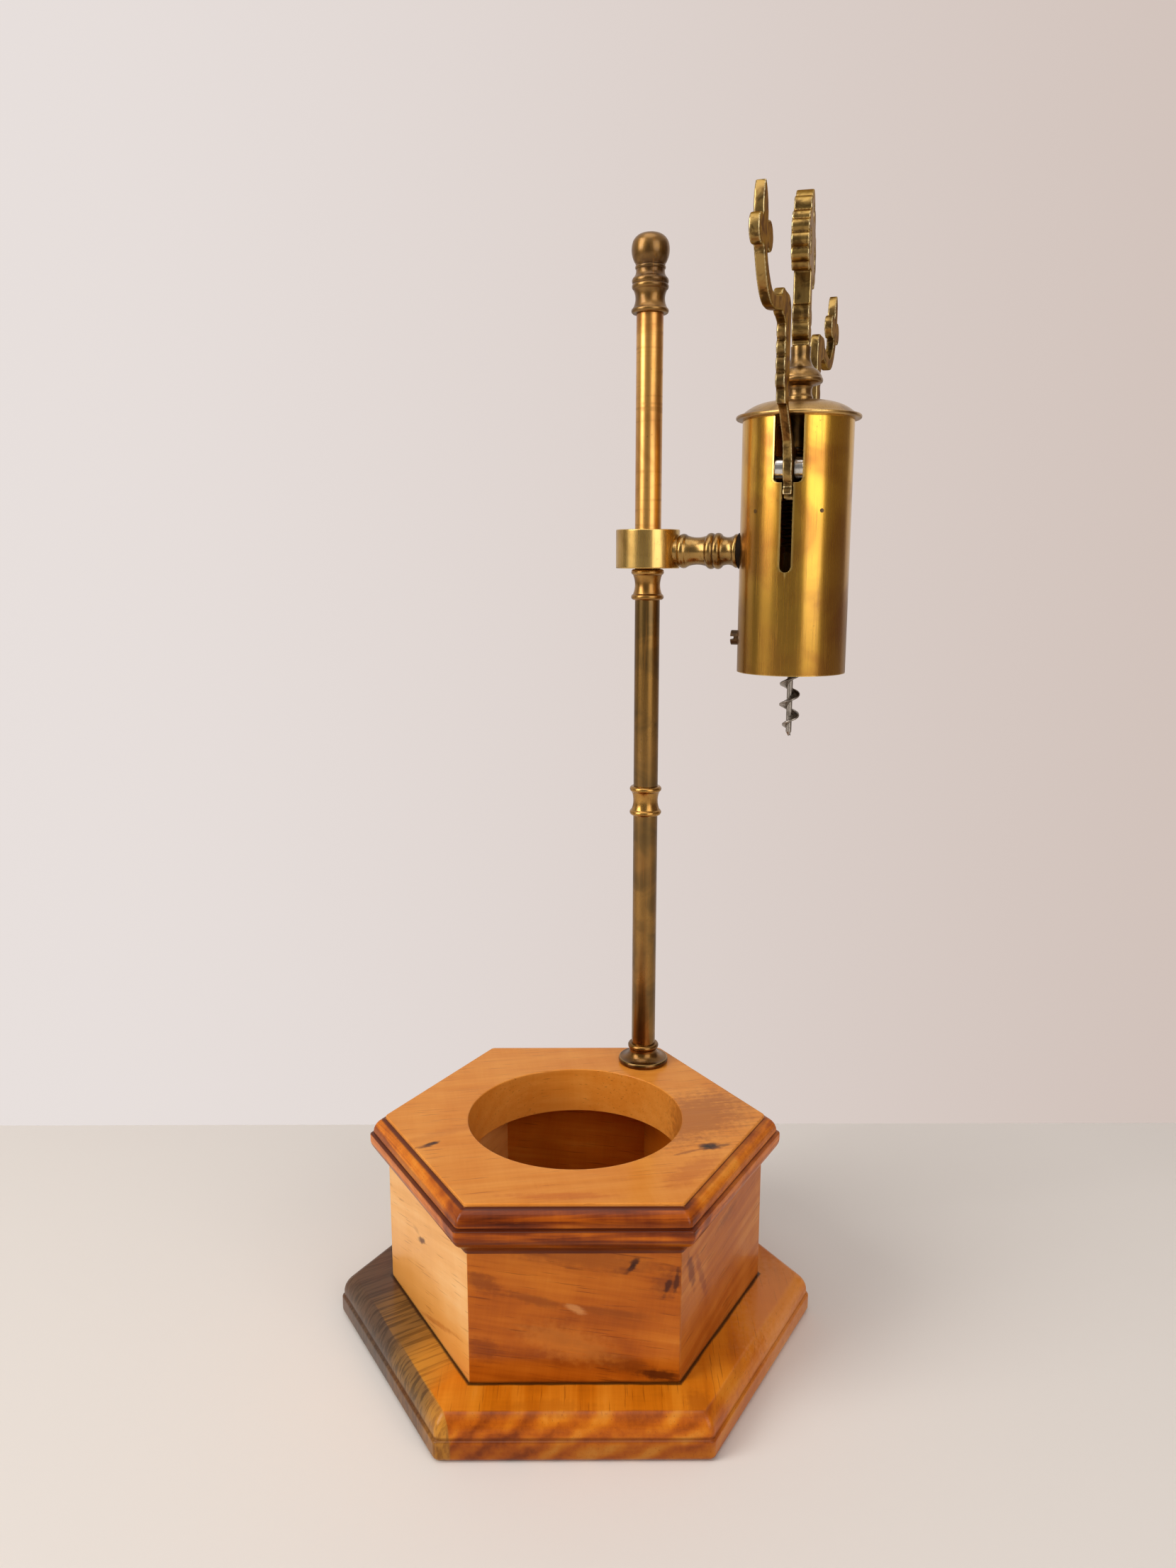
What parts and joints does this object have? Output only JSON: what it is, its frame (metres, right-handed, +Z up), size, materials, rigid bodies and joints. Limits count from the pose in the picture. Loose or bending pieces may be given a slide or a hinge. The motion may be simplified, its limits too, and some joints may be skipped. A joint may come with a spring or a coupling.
{
  "type": "counter mount corkscrew",
  "caption": "Lever corkscrew with rack and worm in a brass barrel, sliding and swivelling on a column over a hexagonal wooden bottle stand.",
  "frame": {"origin": "middle of the stand's underside, on the surface it stands on", "axes": "+Z up along the column; -Y towards the front flat of the hexagonal stand; +X to the right, towards the barrel"},
  "size_m": [0.2192, 0.2111, 0.4469],
  "materials": {
    "plinth_wood": "glossy varnish",
    "body_wood": "glossy varnish",
    "top_wood": "glossy varnish",
    "column_brass": "aged, lacquered",
    "ring_brass": "aged, polished",
    "barrel_brass": "lacquered, polished",
    "lever_brass": "aged casting",
    "handle_brass": "aged casting",
    "inner_brass": "dull",
    "bright_steel": "bright",
    "worm_steel": "dull grey",
    "dark_washer": "dark tarnish",
    "dark_screw": "darkened"
  },
  "bodies": {
    "stand": {"plinth": "plinth_wood", "plinth_screws": "bright_steel", "side_board_front": "body_wood", "side_board_front_right": "body_wood", "side_board_back_right": "body_wood", "side_board_back": "body_wood", "side_board_back_left": "body_wood", "side_board_front_left": "body_wood", "top_board": "top_wood", "tie_rod": "bright_steel", "tie_rod_nut": "bright_steel", "tie_rod_washer": "bright_steel", "column_foot": "column_brass", "lower_tube": "column_brass", "lower_knop": "column_brass", "middle_tube": "column_brass", "upper_knop": "column_brass", "upper_tube": "column_brass", "finial": "column_brass"},
    "slide_bush": {"slide_bush": "ring_brass"},
    "head": {"ring": "ring_brass", "arm": "ring_brass", "arm_washer": "dark_washer", "arm_stud": "bright_steel", "arm_nut": "bright_steel", "barrel": "barrel_brass", "barrel_cap": "barrel_brass", "neck_guide": "barrel_brass", "guide_screw": "dark_screw", "lever_lugs_front": "inner_brass", "lever_lugs_back": "inner_brass", "lug_rivets": "barrel_brass", "pivot_pin_front": "bright_steel", "pivot_pin_back": "bright_steel", "pin_collars_front": "bright_steel", "pin_collars_back": "bright_steel"},
    "lever_front": {"lever_front": "lever_brass"},
    "lever_back": {"lever_back": "lever_brass"},
    "rack_sleeve": {"rack_sleeve": "inner_brass"},
    "spindle": {"spindle": "bright_steel", "worm": "worm_steel", "handle_boss": "handle_brass", "handle_plate": "handle_brass", "handle_pin": "bright_steel"}
  },
  "joints": [
    {"name": "head_lift", "type": "slide", "parent": "stand", "child": "slide_bush", "axis": [0, 0, 1], "range_m": [0, 0.08]},
    {"name": "head_swivel", "type": "hinge", "parent": "slide_bush", "child": "head", "pos_m": [0.03025, 0.05239, 0.3145], "axis": [0, 0, 1], "continuous": true},
    {"name": "front_lever_pivot", "type": "hinge", "parent": "head", "child": "lever_front", "pos_m": [0.08224, 0.01757, 0.3445], "axis": [0.9455, -0.3256, 0], "range_deg": [0, 120]},
    {"name": "back_lever_pivot", "type": "hinge", "parent": "head", "child": "lever_back", "pos_m": [0.09266, 0.04783, 0.3445], "axis": [-0.9455, 0.3256, 0], "range_deg": [0, 120]},
    {"name": "spindle_lift", "type": "slide", "parent": "head", "child": "rack_sleeve", "axis": [0, 0, 1], "range_m": [0, 0.02305]},
    {"name": "handle_spin", "type": "hinge", "parent": "rack_sleeve", "child": "spindle", "pos_m": [0.08745, 0.0327, 0.3445], "axis": [0, 0, 1], "continuous": true}
  ],
  "couplings": [
    {"joint": "back_lever_pivot", "follows": "front_lever_pivot", "ratio": 1},
    {"joint": "spindle_lift", "follows": "front_lever_pivot", "m_per_rad": 0.011}
  ]
}
